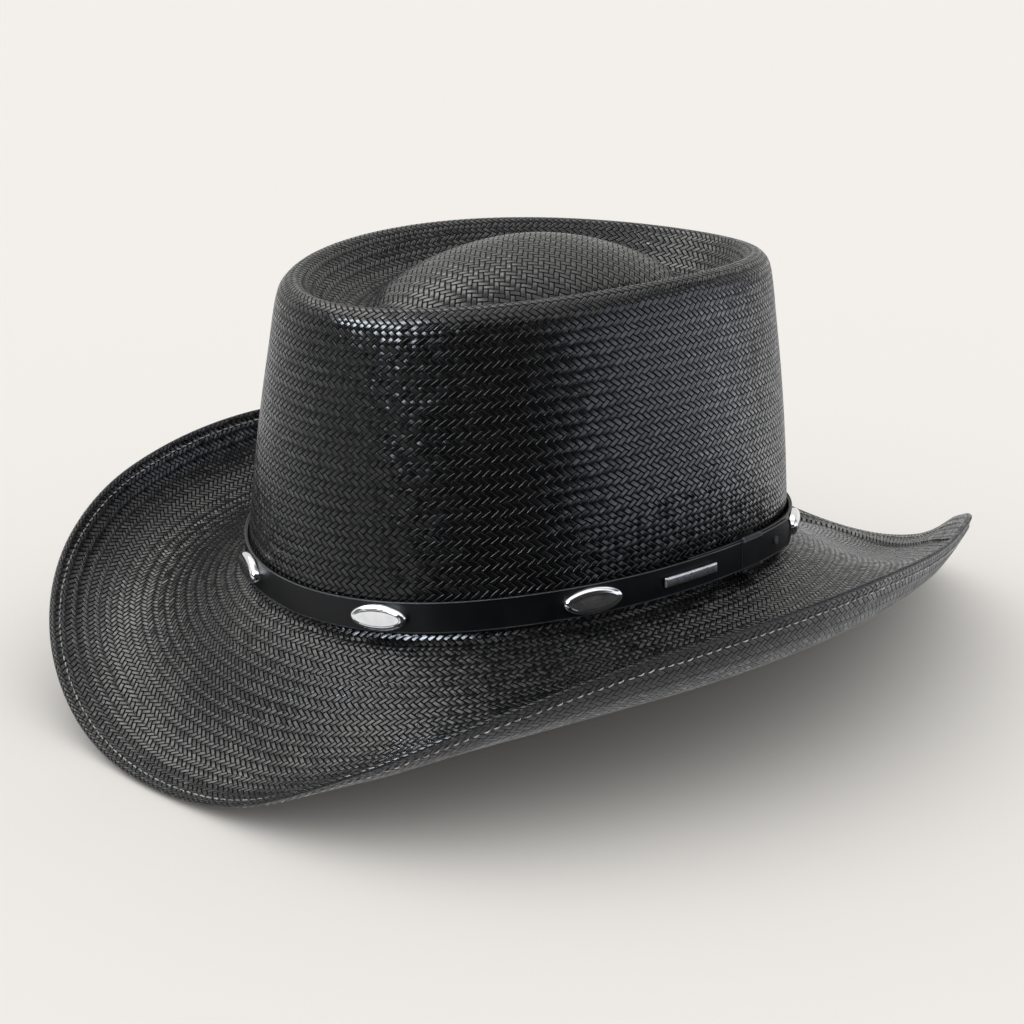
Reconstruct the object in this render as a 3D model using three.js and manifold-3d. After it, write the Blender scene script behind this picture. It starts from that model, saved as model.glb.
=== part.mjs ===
// Straw cowboy hat with a telescope crown, a shaped brim and a leather band with oval metal conchos.
// Millimetres. +Z is up, the front of the hat faces -Y and the wearer's left side is +X.
// Angles round the hat are in degrees from the front, towards the wearer's left.

import * as THREE from 'three';
import Module from 'manifold-3d';
import { mergeVertices } from 'three/addons/utils/BufferGeometryUtils.js';

// Crown: outside of the straw at its foot and at its rim
const footLength = 208;
const footWidth = 176;
const rimLength = 191;
const rimWidth = 145.5;
const crownHeight = 107;
const footSideLift = 9.2;
const rimSideLift = 4.8;
const wallBulge = 1.9;
const footRound = 1;

// Plan of the two ovals: how much wider the front half is, and how full the corners are
const footEgg = 0.045;
const rimEgg = -0.022;
const footFullness = 0.02;
const rimFullness = 0.006;

// Top of the crown: rounded rim, sunken ring and oval dome
const rimRadius = 4.7;
const rimShift = 2;
const domeInset = 30;
const ringDepth = 13;
const domeRise = 23.5;

// Brim
const brimWidth = 80;
const strawThickness = 1.5;
const hemWidth = 11.5;
const hemThickness = 1;

// Band: one leather strap that goes round the crown and over its own hidden end.
// The hidden end, the step over it and the settling beside it are angles; the tip is a length from the front.
const strapHeight = 10.6;
const strapThickness = 1.4;
const strapAboveFoot = 2.3;
const strapTip = 217;
const strapHiddenEnd = 85;
const stepOutStart = 45;
const stepOutEnd = 80;
const settleStart = 120;
const settleEnd = 140;
const tipStations = 5;
const punchDiameter = 3;
const punchToTip = 17.5;

// Keeper loop, conchos and bar on the band. Centres are lengths along the strap from the front of the hat;
// the last concho lies just past the strap's tip, and the others share the way round evenly.
const keeperCentre = 180.2;
const keeperWidth = 11.5;
const keeperThickness = 1;
const conchoCount = 8;
const firstConcho = 107.4;
const tipToConcho = 3;
const conchoLength = 20.5;
const conchoHeight = 9;
const conchoThickness = 2.2;
const conchoBevel = 1.1;
const barCentre = 146.5;
const barLength = 24;
const barHeight = 3.4;
const barThickness = 1;

// Free space between pieces that lie on each other
const clearance = 0.3;

// Facets round the hat, round a concho and round the punched hole
const around = 64;
const conchoSides = 20;
const punchSides = 12;

// Brim sections from the front to the rear: slope in degrees where it leaves the crown,
// half way out and at the edge, and width as a share of brimWidth
const brimSections = [
  { at: 0, width: 0.985, foot: -24, middle: -43.5, edge: 14 },
  { at: 15, width: 0.98, foot: -24, middle: -40, edge: 19 },
  { at: 30, width: 0.965, foot: -24.5, middle: -25.5, edge: 43 },
  { at: 45, width: 0.965, foot: -24, middle: -9, edge: 70 },
  { at: 60, width: 0.975, foot: -22.5, middle: 0.5, edge: 86 },
  { at: 90, width: 0.985, foot: -20, middle: 5.5, edge: 88 },
  { at: 120, width: 0.91, foot: -20.5, middle: 1.5, edge: 82.5 },
  { at: 135, width: 0.945, foot: -22, middle: -1, edge: 76.5 },
  { at: 150, width: 1.02, foot: -21.5, middle: -14.5, edge: 68.5 },
  { at: 165, width: 1.09, foot: -20, middle: -25, edge: 21 },
  { at: 180, width: 1.14, foot: -19, middle: -24, edge: -12 },
];

// Shares of the brim's plain width, and of the hem's, at which a ring of corners lies
const brimRings = [0.02, 0.07, 0.16, 0.28, 0.4, 0.52, 0.64, 0.75, 0.86, 1];
const hemRings = [0.08, 0.5, 1];

// Shares of the crown's straight wall at which a ring of corners lies
const wallRings = [0.14, 0.34, 0.56, 0.78, 1];

// Angles over the rounded rim, from the outside to the inside, in degrees
const rimAngles = [36, 72, 108, 150];

// Sunken ring: way in as a share of domeInset, way down as a share of ringDepth
const ringSections = [
  { inward: 0.5, down: 0.66 },
  { inward: 0.66, down: 0.94 },
  { inward: 0.82, down: 1 },
];

// Dome: how far out each ring of corners lies, as a share of the dome's foot
const domeRings = [0.985, 0.9, 0.74, 0.54, 0.3];
const domeFullness = 1.75;
const domeSharpness = 0.72;

const degree = Math.PI / 180;

// Blends smoothly between the rows of a table that runs from the front to the rear
function blendRows(rows, column, angle) {
  const turned = Math.abs(THREE.MathUtils.euclideanModulo(angle + 180, 360) - 180);
  let low = 0;
  while (low < rows.length - 2 && rows[low + 1].at <= turned) low += 1;
  const start = rows[low];
  const end = rows[low + 1];
  const before = low > 0 ? rows[low - 1] : { ...end, at: 2 * start.at - end.at };
  const after = low < rows.length - 2 ? rows[low + 2] : { ...start, at: 2 * end.at - start.at };
  const span = end.at - start.at;
  const share = (turned - start.at) / span;
  const startSlope = ((end[column] - before[column]) / (end.at - before.at)) * span;
  const endSlope = ((after[column] - start[column]) / (after.at - start.at)) * span;
  const square = share * share;
  const cube = square * share;
  return (2 * cube - 3 * square + 1) * start[column] + (cube - 2 * square + share) * startSlope
    + (3 * square - 2 * cube) * end[column] + (cube - square) * endSlope;
}

// A point of an oval in plan, with its front half wider by egg and its corners fuller by fullness
function ovalPoint(angle, halfLength, halfWidth, egg, fullness) {
  const turn = angle * degree;
  const full = 1 + fullness * Math.sin(2 * turn) ** 2;
  const across = halfWidth * Math.sin(turn) * (1 + egg * Math.cos(turn)) * full;
  return new THREE.Vector2(across, -halfLength * Math.cos(turn) * full);
}

// Outward direction in plan of the crown's foot
function footOutward(angle) {
  const ahead = ovalPoint(angle + 0.5, footLength / 2, footWidth / 2, footEgg, footFullness);
  const behind = ovalPoint(angle - 0.5, footLength / 2, footWidth / 2, footEgg, footFullness);
  const along = ahead.sub(behind).normalize();
  return new THREE.Vector2(along.y, -along.x);
}

// A point on the outside of the crown's wall, at a height above its foot
function wallPoint(angle, height) {
  const share = height / crownHeight;
  const mix = (low, high) => low + (high - low) * share;
  const plan = ovalPoint(angle, mix(footLength, rimLength) / 2, mix(footWidth, rimWidth) / 2,
    mix(footEgg, rimEgg), mix(footFullness, rimFullness));
  const bulge = wallBulge * 4 * share * (1 - share);
  const outward = footOutward(angle);
  const lift = mix(footSideLift, rimSideLift) * Math.sin(angle * degree) ** 2;
  return new THREE.Vector3(plan.x + outward.x * bulge, plan.y + outward.y * bulge + rimShift * share,
    lift + height);
}

// Outward normal of the crown's wall
function wallNormal(angle, height) {
  const along = wallPoint(angle + 0.5, height).sub(wallPoint(angle - 0.5, height));
  const up = wallPoint(angle, height + 0.5).sub(wallPoint(angle, height - 0.5));
  return along.cross(up).normalize();
}

// A point over the rim, in the ring or on the dome: so far in from the wall, so far below the rim's top
function topPoint(angle, inward, down) {
  const plan = ovalPoint(angle, rimLength / 2 - inward, rimWidth / 2 - inward, rimEgg, rimFullness);
  const lift = rimSideLift * Math.sin(angle * degree) ** 2;
  return new THREE.Vector3(plan.x, plan.y + rimShift, lift + crownHeight - down);
}

// Height of the dome above the ring's floor, at a share of the way out from its middle
function domeHeight(share) {
  return domeRise * (1 - share ** domeFullness) ** domeSharpness;
}

// A point on the dome; the sides' lift fades out towards the middle
function domePoint(angle, share) {
  const halfLength = (rimLength / 2 - domeInset) * share;
  const halfWidth = (rimWidth / 2 - domeInset) * share;
  const plan = ovalPoint(angle, halfLength, halfWidth, rimEgg, rimFullness);
  const lift = rimSideLift * Math.sin(angle * degree) ** 2 * share ** 2;
  return new THREE.Vector3(plan.x, plan.y + rimShift, lift + crownHeight - ringDepth + domeHeight(share));
}

// Slope of the brim at a share of its width, a curve through the section's three slopes
function brimSlope(section, share) {
  const near = section.foot * (1 - share) * (1 - 2 * share);
  const half = section.middle * 4 * share * (1 - share);
  const far = section.edge * share * (2 * share - 1);
  return (near + half + far) * degree;
}

// A point of the brim's upper side, reached by walking out from the crown's foot in short steps
function brimPoint(angle, distance) {
  const section = {
    foot: blendRows(brimSections, 'foot', angle),
    middle: blendRows(brimSections, 'middle', angle),
    edge: blendRows(brimSections, 'edge', angle),
  };
  const width = brimWidth * blendRows(brimSections, 'width', angle);
  const steps = 48;
  let out = 0;
  let up = 0;
  for (let step = 0; step < steps; step += 1) {
    const share = (((step + 0.5) / steps) * distance) / width;
    const slope = brimSlope(section, share);
    out += (Math.cos(slope) * distance) / steps;
    up += (Math.sin(slope) * distance) / steps;
  }
  const foot = wallPoint(angle, 0);
  const outward = footOutward(angle);
  return new THREE.Vector3(foot.x + outward.x * out, foot.y + outward.y * out, foot.z + up);
}

// Full width of the brim at an angle
function brimReach(angle) {
  return brimWidth * blendRows(brimSections, 'width', angle);
}

// Angles of the corners round the hat, half a step off the middle so that the dips rest on an edge
function ringAngles() {
  return Array.from({ length: around }, (_, index) => ((index + 0.5) * 360) / around);
}

// Rings of the straw's upper side, from the dome's middle to the brim's edge.
// Each is a function of the angle, with how far the hem raises it there.
function strawRings() {
  const rings = [];
  for (const share of [...domeRings].reverse()) {
    rings.push({ at: (angle) => domePoint(angle, share), raise: 0 });
  }
  for (const row of [...ringSections].reverse()) {
    rings.push({ at: (angle) => topPoint(angle, row.inward * domeInset, row.down * ringDepth), raise: 0 });
  }
  for (const turn of [...rimAngles].reverse()) {
    const inward = rimRadius * (1 - Math.cos(turn * degree));
    const down = rimRadius * (1 - Math.sin(turn * degree));
    rings.push({ at: (angle) => topPoint(angle, inward, down), raise: 0 });
  }
  for (const share of [...wallRings].reverse()) {
    const height = footRound + (crownHeight - rimRadius - footRound) * share;
    rings.push({ at: (angle) => wallPoint(angle, height), raise: 0 });
  }
  rings.push({ at: (angle) => wallPoint(angle, footRound), raise: 0 });
  const plain = (angle) => brimReach(angle) - hemWidth;
  for (const share of brimRings) {
    rings.push({ at: (angle) => brimPoint(angle, plain(angle) * share), raise: 0 });
  }
  for (const share of hemRings) {
    const out = (angle) => plain(angle) + hemWidth * share;
    rings.push({ at: (angle) => brimPoint(angle, out(angle)), raise: hemThickness });
  }
  return rings;
}

// Normal of the straw's upper side at one corner, from the neighbouring rings and angles
function strawNormal(rings, index, angle) {
  const step = 0.5;
  const round = rings[index].at(angle + step).sub(rings[index].at(angle - step));
  const inner = rings[Math.max(index - 1, 0)].at(angle);
  const outer = rings[Math.min(index + 1, rings.length - 1)].at(angle);
  return outer.sub(inner).cross(round).normalize();
}

// Closed mesh over rings of equally many corners. Ends: 'poles' closes both ends on a point,
// 'caps' on a flat fan, and 'loop' joins the last ring to the first.
function skinRings(rings, ends, poles = []) {
  const corners = rings.flat();
  const sides = rings[0].length;
  const faces = [];
  const last = ends === 'loop' ? rings.length : rings.length - 1;
  for (let ring = 0; ring < last; ring += 1) {
    const here = ring * sides;
    const there = ((ring + 1) % rings.length) * sides;
    for (let side = 0; side < sides; side += 1) {
      const next = (side + 1) % sides;
      faces.push(here + side, here + next, there + next);
      faces.push(here + side, there + next, there + side);
    }
  }
  const end = (rings.length - 1) * sides;
  if (ends === 'caps') {
    for (let side = 1; side < sides - 1; side += 1) {
      faces.push(0, side + 1, side);
      faces.push(end, end + side, end + side + 1);
    }
  }
  if (ends === 'poles') {
    const first = corners.push(poles[0]) - 1;
    const final = corners.push(poles[1]) - 1;
    for (let side = 0; side < sides; side += 1) {
      const next = (side + 1) % sides;
      faces.push(first, next, side);
      faces.push(final, end + side, end + next);
    }
  }
  const geometry = new THREE.BufferGeometry().setFromPoints(corners);
  geometry.setIndex(faces);
  if (enclosedVolume(geometry) < 0) {
    geometry.setIndex(faces.reverse());
  }
  geometry.computeVertexNormals();
  return geometry;
}

// Signed volume of a closed mesh, below zero where its faces point inwards
function enclosedVolume(geometry) {
  const place = geometry.getAttribute('position');
  const index = geometry.getIndex();
  const corner = (at) => new THREE.Vector3().fromBufferAttribute(place, index.getX(at));
  let sum = 0;
  for (let at = 0; at < index.count; at += 3) {
    sum += corner(at).dot(corner(at + 1).cross(corner(at + 2))) / 6;
  }
  return sum;
}

// Crown and brim in one piece of woven straw, hollow below, with its folded hem
function strawBody() {
  const rings = strawRings();
  const angles = ringAngles();
  const upper = [];
  const under = [];
  rings.forEach((ring, index) => {
    upper.push(angles.map((angle) => ring.at(angle)
      .addScaledVector(strawNormal(rings, index, angle), ring.raise)));
    under.push(angles.map((angle) => ring.at(angle)
      .addScaledVector(strawNormal(rings, index, angle), -strawThickness)));
  });
  const last = rings.length - 1;
  const edgeRadius = (strawThickness + hemThickness) / 2;
  const edge = angles.map((angle, side) => {
    const middle = upper[last][side].clone().add(under[last][side]).multiplyScalar(0.5);
    const outward = rings[last].at(angle).sub(brimPoint(angle, brimReach(angle) - 1)).normalize();
    return middle.addScaledVector(outward, edgeRadius);
  });
  const top = new THREE.Vector3(0, rimShift, crownHeight - ringDepth + domeRise);
  const ceiling = top.clone().setZ(top.z - strawThickness);
  return skinRings([...upper, edge, ...under.reverse()], 'poles', [top, ceiling]);
}

// How far the strap's back stands off the crown: beside its hidden end it leaves room for the keeper
// loop, and its outer turn steps out over the hidden end
const innerTurn = clearance + keeperThickness + clearance;
const outerTurn = innerTurn + strapThickness + clearance;
function strapStandoff(angle) {
  const settled = THREE.MathUtils.smoothstep(angle, settleStart - 360, settleEnd - 360);
  const stepped = THREE.MathUtils.smoothstep(angle, stepOutStart, stepOutEnd);
  return innerTurn + (clearance - innerTurn) * settled + (outerTurn - clearance) * stepped;
}

// A point of the strap: height is measured up from its lower edge, depth out from its back
function strapPoint(angle, height, depth) {
  const above = strapAboveFoot + height;
  return wallPoint(angle, above).addScaledVector(wallNormal(angle, above), strapStandoff(angle) + depth);
}

// Angle on the strap that lies a length along it from the front, below zero towards the wearer's right
function angleAlong(length) {
  const middle = strapHeight / 2;
  const step = length < 0 ? -1 : 1;
  let angle = 0;
  let left = Math.abs(length);
  let here = strapPoint(0, middle, strapThickness);
  for (;;) {
    const there = strapPoint(angle + step, middle, strapThickness);
    const stride = there.distanceTo(here);
    if (stride >= left) return angle + (step * left) / stride;
    left -= stride;
    angle += step;
    here = there;
  }
}

// Length along the strap from the front to an angle, below zero towards the wearer's right
function lengthTo(angle) {
  const steps = Math.ceil(Math.abs(angle));
  const point = (index) => strapPoint((angle * index) / steps, strapHeight / 2, strapThickness);
  let walked = 0;
  for (let index = 0; index < steps; index += 1) {
    walked += point(index + 1).distanceTo(point(index));
  }
  return Math.sign(angle) * walked;
}

// Angles of the corners between two angles, so that what lies round the crown bends where it bends
function bendsBetween(start, end) {
  const step = 360 / around;
  const bends = [start];
  for (let index = Math.ceil(start / step - 0.5); (index + 0.5) * step < end; index += 1) {
    const bend = (index + 0.5) * step;
    if (bend - start > step / 8 && end - bend > step / 8) bends.push(bend);
  }
  bends.push(end);
  return bends;
}

// Four corners of something that lies round the crown, at one angle
function bandSection(angle, low, high, back, front) {
  return [
    strapPoint(angle, low, back),
    strapPoint(angle, low, front),
    strapPoint(angle, high, front),
    strapPoint(angle, high, back),
  ];
}

// The strap with its rounded tip and punched hole
function strap(wasm) {
  const tipAngle = angleAlong(strapTip);
  const tipStart = angleAlong(strapTip - strapHeight / 2);
  const sections = bendsBetween(strapHiddenEnd - 360, tipStart)
    .map((angle) => bandSection(angle, 0, strapHeight, 0, strapThickness));
  for (let station = 1; station <= tipStations; station += 1) {
    const turn = (station / (tipStations + 0.5)) * (Math.PI / 2);
    const angle = tipStart + (tipAngle - tipStart) * Math.sin(turn);
    const half = (strapHeight / 2) * Math.cos(turn);
    sections.push(bandSection(angle, strapHeight / 2 - half, strapHeight / 2 + half, 0, strapThickness));
  }
  const whole = skinRings(sections, 'caps');
  const holeAngle = angleAlong(strapTip - punchToTip);
  const drill = new THREE.CylinderGeometry(punchDiameter / 2, punchDiameter / 2,
    strapThickness + clearance, punchSides);
  drill.rotateX(Math.PI / 2);
  drill.applyMatrix4(seatMatrix(holeAngle, strapHeight / 2, strapThickness / 2));
  const cut = toSolid(wasm, whole).subtract(toSolid(wasm, drill));
  return fromSolid(cut);
}

// Frame of a flat piece on the band: X along the strap, Y up its face, Z out of it
function seatMatrix(angle, height, depth) {
  const out = strapPoint(angle, height, depth);
  const along = strapPoint(angle + 1, height, depth).sub(strapPoint(angle - 1, height, depth)).normalize();
  const up = strapPoint(angle, height + 1, depth).sub(strapPoint(angle, height - 1, depth)).normalize();
  const face = along.clone().cross(up).normalize();
  const upright = face.clone().cross(along);
  return new THREE.Matrix4().makeBasis(along, upright, face).setPosition(out);
}

// Closed mesh as a solid that can be cut, and back
function toSolid(wasm, geometry) {
  const bare = geometry.clone();
  bare.deleteAttribute('normal');
  bare.deleteAttribute('uv');
  const merged = mergeVertices(bare);
  return new wasm.Manifold(new wasm.Mesh({
    numProp: 3,
    vertProperties: Float32Array.from(merged.getAttribute('position').array),
    triVerts: Uint32Array.from(merged.getIndex().array),
  }));
}

function fromSolid(solid) {
  const mesh = solid.getMesh();
  const geometry = new THREE.BufferGeometry();
  geometry.setAttribute('position', new THREE.BufferAttribute(mesh.vertProperties, 3));
  geometry.setIndex(new THREE.BufferAttribute(mesh.triVerts, 1));
  geometry.computeVertexNormals();
  return geometry;
}

// Leather loop round both turns of the strap
function keeperLoop() {
  const start = angleAlong(keeperCentre - keeperWidth / 2);
  const end = angleAlong(keeperCentre + keeperWidth / 2);
  const bends = bendsBetween(start, end);
  const back = innerTurn - outerTurn - clearance;
  const front = strapThickness + clearance;
  const inside = bends.map((angle) => bandSection(angle, -clearance, strapHeight + clearance, back, front));
  const outside = bends.map((angle) => bandSection(angle, -clearance - keeperThickness,
    strapHeight + clearance + keeperThickness, back - keeperThickness, front + keeperThickness));
  return skinRings([...outside, ...inside.reverse()], 'loop');
}

// Oval concho with a bevelled rim, seated on the strap's face
function concho(index) {
  const lastAngle = angleAlong(strapTip + tipToConcho + conchoLength / 2) - 360;
  const spacing = (firstConcho - lengthTo(lastAngle)) / (conchoCount - 1);
  const angle = angleAlong(firstConcho - index * spacing);
  const outline = (shrink, out) => Array.from({ length: conchoSides }, (_, side) => {
    const turn = (side / conchoSides) * 2 * Math.PI;
    return new THREE.Vector3((conchoLength / 2 - shrink) * Math.cos(turn),
      (conchoHeight / 2 - shrink) * Math.sin(turn), out);
  });
  const wall = conchoThickness - conchoBevel;
  const geometry = skinRings([outline(0, 0), outline(0, wall), outline(conchoBevel, conchoThickness)], 'caps');
  geometry.applyMatrix4(seatMatrix(angle, strapHeight / 2, strapThickness + clearance));
  return geometry;
}

// Plain metal bar on the strap's face, bent with the strap
function plainBar() {
  const start = angleAlong(barCentre - barLength / 2);
  const end = angleAlong(barCentre + barLength / 2);
  const low = (strapHeight - barHeight) / 2;
  const back = strapThickness + clearance;
  return skinRings(bendsBetween(start, end)
    .map((angle) => bandSection(angle, low, low + barHeight, back, back + barThickness)), 'caps');
}

function material(colour, roughness, metalness) {
  return new THREE.MeshStandardMaterial({ color: colour, roughness, metalness });
}

function piece(name, geometry, look) {
  const mesh = new THREE.Mesh(geometry, look);
  mesh.name = name;
  return mesh;
}

// Sets the hat down: it turns about X until the front and rear dips of the brim touch the floor,
// and its box is centred on the origin
function setDown(group, body) {
  const place = body.getAttribute('position');
  const lowest = (front, tilt) => {
    let low = null;
    for (let at = 0; at < place.count; at += 1) {
      const point = new THREE.Vector3().fromBufferAttribute(place, at);
      const height = point.clone().applyAxisAngle(new THREE.Vector3(1, 0, 0), tilt).z;
      if ((point.y < 0) === front && (low === null || height < low.height)) low = { point, height };
    }
    return low.point;
  };
  let tilt = 0;
  for (let round = 0; round < 4; round += 1) {
    const front = lowest(true, tilt);
    const rear = lowest(false, tilt);
    tilt = -Math.atan2(rear.z - front.z, rear.y - front.y);
  }
  group.rotation.x = tilt;
  group.updateMatrixWorld(true);
  const box = new THREE.Box3().setFromObject(group, true);
  const middle = box.getCenter(new THREE.Vector3());
  group.position.set(-middle.x, -middle.y, -box.min.z);
}

const wasm = await Module();
wasm.setup();

const straw = material(0x2b2c2e, 0.6, 0);
const leather = material(0x1a1b1e, 0.45, 0);
const polished = material(0xd5d8dc, 0.12, 1);

const group = new THREE.Group();
const body = strawBody();
group.add(piece('straw_body', body, straw));
group.add(piece('band_strap', strap(wasm), leather));
group.add(piece('keeper_loop', keeperLoop(), leather));
group.add(piece('plain_bar', plainBar(), polished));
for (let index = 0; index < conchoCount; index += 1) {
  group.add(piece(`concho_${index + 1}`, concho(index), polished));
}
setDown(group, body);

export default group;
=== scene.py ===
"""Looks of the straw cowboy hat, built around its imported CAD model.

Sizes are in millimetres in the hat's own level frame, as in the part's source: +Z up, the front at -Y, the
wearer's left at +X, angles in degrees from the front towards the wearer's left. A mesh becomes metres in the
row frame when it is made.
"""

import math

import bmesh
import bpy
import numpy as np
from mathutils import Matrix, Vector


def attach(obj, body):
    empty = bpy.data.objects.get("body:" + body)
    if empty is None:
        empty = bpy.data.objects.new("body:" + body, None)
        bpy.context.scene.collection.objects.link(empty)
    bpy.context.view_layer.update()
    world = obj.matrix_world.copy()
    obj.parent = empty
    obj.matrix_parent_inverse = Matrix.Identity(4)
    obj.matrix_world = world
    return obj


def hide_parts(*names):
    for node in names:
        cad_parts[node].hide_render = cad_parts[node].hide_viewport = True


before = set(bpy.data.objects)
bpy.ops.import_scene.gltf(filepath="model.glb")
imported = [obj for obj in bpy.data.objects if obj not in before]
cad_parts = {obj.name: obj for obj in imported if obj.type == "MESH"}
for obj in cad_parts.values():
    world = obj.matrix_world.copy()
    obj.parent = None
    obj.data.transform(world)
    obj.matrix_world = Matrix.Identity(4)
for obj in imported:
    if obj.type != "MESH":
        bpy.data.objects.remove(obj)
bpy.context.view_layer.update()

MM = 0.001

# Crown: outside of the straw at its foot and at its rim
FOOT_LENGTH = 208
FOOT_WIDTH = 176
RIM_LENGTH = 191
RIM_WIDTH = 145.5
CROWN_HEIGHT = 107
FOOT_SIDE_LIFT = 9.2
RIM_SIDE_LIFT = 4.8
WALL_BULGE = 1.9
FOOT_ROUND = 1
FOOT_EGG = 0.045
RIM_EGG = -0.022
FOOT_FULLNESS = 0.02
RIM_FULLNESS = 0.006
RIM_RADIUS = 4.7
RIM_SHIFT = 2
DOME_INSET = 30
RING_DEPTH = 13
DOME_RISE = 23.5
DOME_FULLNESS = 1.75
DOME_SHARPNESS = 0.72

# Brim
BRIM_WIDTH = 80
STRAW_THICKNESS = 1.5
HEM_WIDTH = 11.5
HEM_THICKNESS = 1
HEM_SOFTNESS = 1.6
HEM_CRISPER_AT_REAR = 1.15
HEM_RAISE_AT_FRONT = 0.3
REAR_FROM, REAR_FULL = 115, 150
EDGE_TURNS = (54, 18, -18, -54)
EDGE_ROW = 0.4
BRIM_STEPS = 48
BRIM_AT = (0, 15, 30, 45, 60, 90, 120, 135, 150, 165, 180)
BRIM_SECTIONS = {
    "width": (0.985, 0.98, 0.965, 0.965, 0.975, 0.985, 0.91, 0.945, 1.02, 1.09, 1.14),
    "foot": (-24, -24, -24.5, -24, -22.5, -20, -20.5, -22, -21.5, -20, -19),
    "middle": (-43.5, -40, -25.5, -9, 0.5, 5.5, 1.5, -1, -14.5, -25, -24),
    "edge": (14, 19, 43, 70, 86, 88, 82.5, 76.5, 68.5, 21, -12),
}

# Band, keeper loop, conchos and bar
CLEARANCE = 0.3
STRAP_HEIGHT = 10.6
STRAP_THICKNESS = 1.4
STRAP_ABOVE_FOOT = 2.3
STRAP_TIP = 217
STRAP_HIDDEN_END = 85
STEP_OUT = (45, 80)
SETTLE = (120, 140)
PUNCH_DIAMETER = 3
PUNCH_TO_TIP = 17.5
KEEPER_CENTRE = 180.2
KEEPER_WIDTH = 11.5
KEEPER_THICKNESS = 1
CONCHO_COUNT = 8
FIRST_CONCHO = 107.4
TIP_TO_CONCHO = 3
CONCHO_LENGTH = 20.5
CONCHO_HEIGHT = 9
CONCHO_THICKNESS = 2.2
BAR_CENTRE = 146.5
BAR_LENGTH = 24
BAR_HEIGHT = 3.4
BAR_THICKNESS = 1

# Finish of the band's pieces: rounding of edges, steps, and the concho's shoulder as (way in, height)
STRAP_STEP = 1.25
STRAP_ROUNDING = 0.42
TIP_STATIONS = 14
PUNCH_SIDES = 32
KEEPER_INNER_ROUNDING = 0.5
KEEPER_SOFTNESS = 0.5
CONCHO_SIDES = 96
CONCHO_PROFILE = (
    (0, -CLEARANCE - 0.2),
    (0, 0.55),
    (0.08, 0.95),
    (0.24, 1.3),
    (0.48, 1.6),
    (0.8, 1.85),
    (1.2, 2.05),
    (1.62, 2.16),
    (1.7, CONCHO_THICKNESS - 0.06),
    (1.85, CONCHO_THICKNESS),
    (2.4, CONCHO_THICKNESS + 0.02),
)
BAR_BEVEL = 0.55
BAR_DOMING = 0.1

# Fineness of the straw's surface: columns round the hat, and steps between the part's rings of corners
COLUMNS = 256
RING_STEPS = {"dome": 6, "valley": 5, "rim": 4, "wall": 5, "foot": 2, "brim": 5, "hem": 3}

# The part's rings of corners: shares of the dome, ways in and down as shares in the ring, turns over the rim,
# and shares of the wall, of the brim's plain width and of the hem
DOME_RINGS = (0.3, 0.54, 0.74, 0.9)
DOME_FOOT_RING = 0.985
VALLEY_RINGS = ((0.82, 1), (0.66, 0.94), (0.5, 0.66))
RIM_TURNS = (150, 108, 72, 36)
WALL_RINGS = (1, 0.78, 0.56, 0.34, 0.14)
BRIM_RINGS = (0.02, 0.07, 0.16, 0.28, 0.4, 0.52, 0.64, 0.75, 0.86)
HEM_RINGS = (0.08, 0.5, 1)

# Weave: width of one column and height of one row of it, on the crown and on the brim, and its size on the dome
CROWN_WEAVE = (2.77, 2.17)
BRIM_WEAVE = (2.5, 2.2)
DOME_WEAVE = 2.6

# How far the wanted number of columns may drift before the weave starts a new zone
ZONE_DRIFT = 0.16

# Running stitch along the hem: gap and thread are given for the upper face and for the underside
STITCH_INSET = 3
STITCH_LENGTH = 3.3
STITCH_GAPS = (0.35, 1.3)
THREAD_RADII = (0.28, 0.24)
STITCH_STATIONS = 8
THREAD_SIDES = 6


def blend_rows(column, angle):
    """A brim size at an angle, blended smoothly between its rows."""
    at = np.array(BRIM_AT, float)
    values = np.array(BRIM_SECTIONS[column], float)
    slopes = np.zeros_like(values)
    slopes[1:-1] = (values[2:] - values[:-2]) / (at[2:] - at[:-2])
    turned = np.abs((np.asarray(angle, float) + 180) % 360 - 180)
    low = np.clip(np.searchsorted(at, turned, side="right") - 1, 0, len(at) - 2)
    span = at[low + 1] - at[low]
    share = (turned - at[low]) / span
    square, cube = share**2, share**3
    return (
        (2 * cube - 3 * square + 1) * values[low]
        + (cube - 2 * square + share) * slopes[low] * span
        + (3 * square - 2 * cube) * values[low + 1]
        + (cube - square) * slopes[low + 1] * span
    )


def oval(angle, half_length, half_width, egg, fullness):
    """Points of an oval in plan, with its front half wider by egg and its corners fuller."""
    turn = np.radians(angle)
    full = 1 + fullness * np.sin(2 * turn) ** 2
    across = half_width * np.sin(turn) * (1 + egg * np.cos(turn)) * full
    return across, -half_length * np.cos(turn) * full


def unit(vectors):
    return vectors / np.linalg.norm(vectors, axis=-1, keepdims=True)


def foot_outward(angle):
    """Outward direction in plan of the crown's foot."""
    ahead = oval(angle + 0.5, FOOT_LENGTH / 2, FOOT_WIDTH / 2, FOOT_EGG, FOOT_FULLNESS)
    behind = oval(angle - 0.5, FOOT_LENGTH / 2, FOOT_WIDTH / 2, FOOT_EGG, FOOT_FULLNESS)
    along_x, along_y = ahead[0] - behind[0], ahead[1] - behind[1]
    length = np.hypot(along_x, along_y)
    return along_y / length, -along_x / length


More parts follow.
